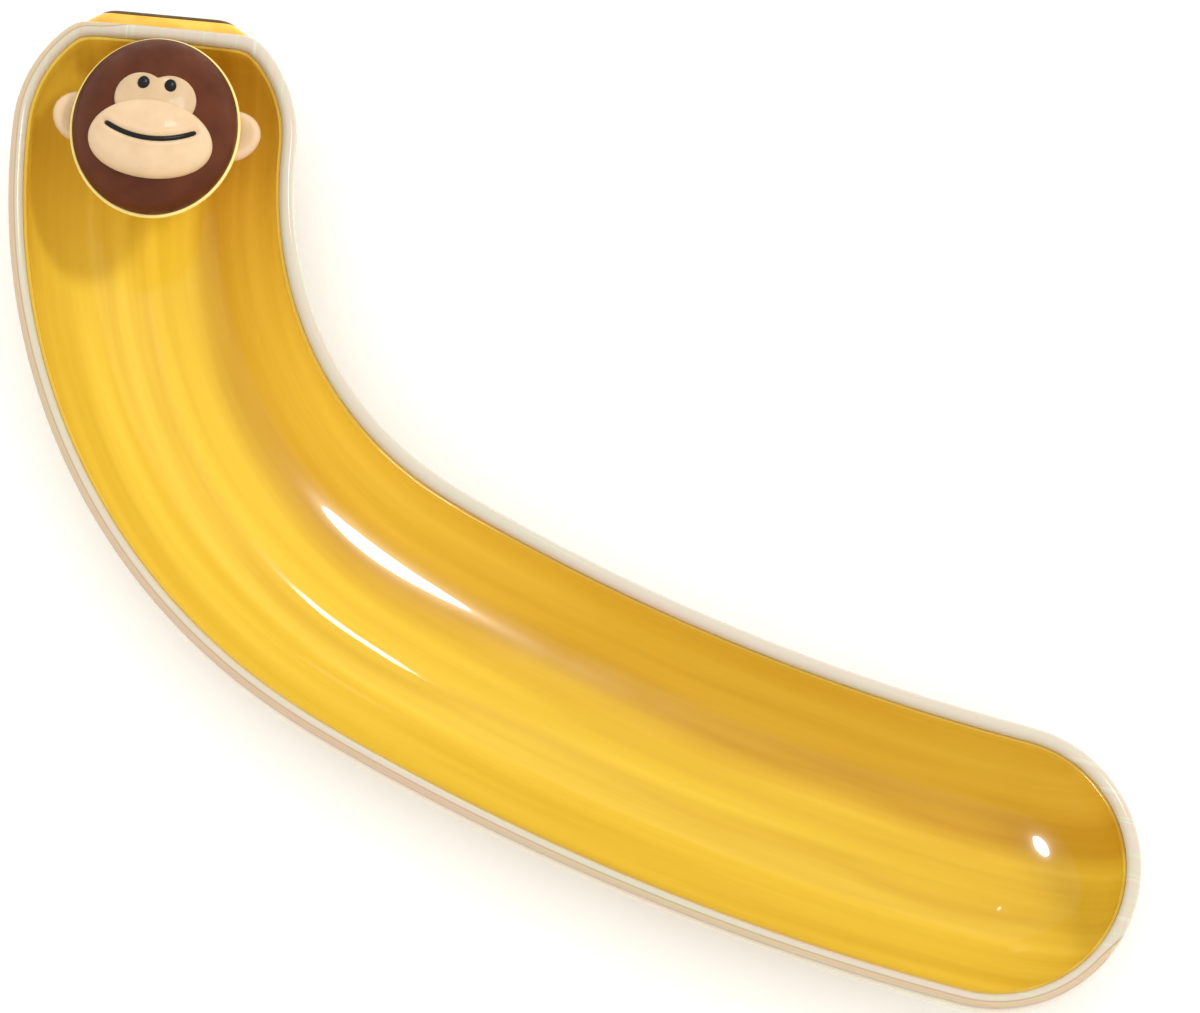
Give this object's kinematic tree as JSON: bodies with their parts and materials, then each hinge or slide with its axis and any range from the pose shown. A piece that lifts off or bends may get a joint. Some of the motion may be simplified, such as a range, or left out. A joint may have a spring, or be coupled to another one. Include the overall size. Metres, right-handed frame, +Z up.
{
  "type": "banana-shaped tray",
  "caption": "Open, banana-shaped trough with a clear shell, a glossy yellow liner and a small cartoon monkey head standing at its stem end.",
  "frame": {"origin": "on the surface that the feet stand on, under the middle of the tray's outline", "axes": "+Z up; X along the line through the centres of the two end caps, with the head at -X; the curve's convex side faces -Y"},
  "size_m": [0.2672, 0.098, 0.0464],
  "materials": {
    "clear_shell": "clear, polished, rounded rim",
    "yellow_liner": "high gloss banana yellow, faint lengthwise streaks",
    "stem_tip": "dark olive brown, glossy",
    "pale_yellow": "pale yellow, glossy",
    "brown_fur": "dark brown painted moulding, satin gloss",
    "cream_skin": "cream painted moulding, satin gloss",
    "black_detail": "black, glossy",
    "steel": "zinc plated steel",
    "soft_foot": "soft translucent pad"
  },
  "bodies": {
    "root": {"outer_shell": "clear_shell", "liner": "yellow_liner", "stem_stub": "yellow_liner", "stem_tip": "stem_tip", "neck": "yellow_liner", "head_back": "pale_yellow", "head_dome": "brown_fur", "brow_patch": "cream_skin", "muzzle": "cream_skin", "mouth_inlay": "black_detail", "eye_left": "black_detail", "eye_right": "black_detail", "ear_left": "cream_skin", "ear_right": "cream_skin", "head_screw": "steel", "screw_washer": "steel", "foot_1": "soft_foot", "foot_2": "soft_foot", "foot_3": "soft_foot", "foot_4": "soft_foot"}
  },
  "joints": []
}
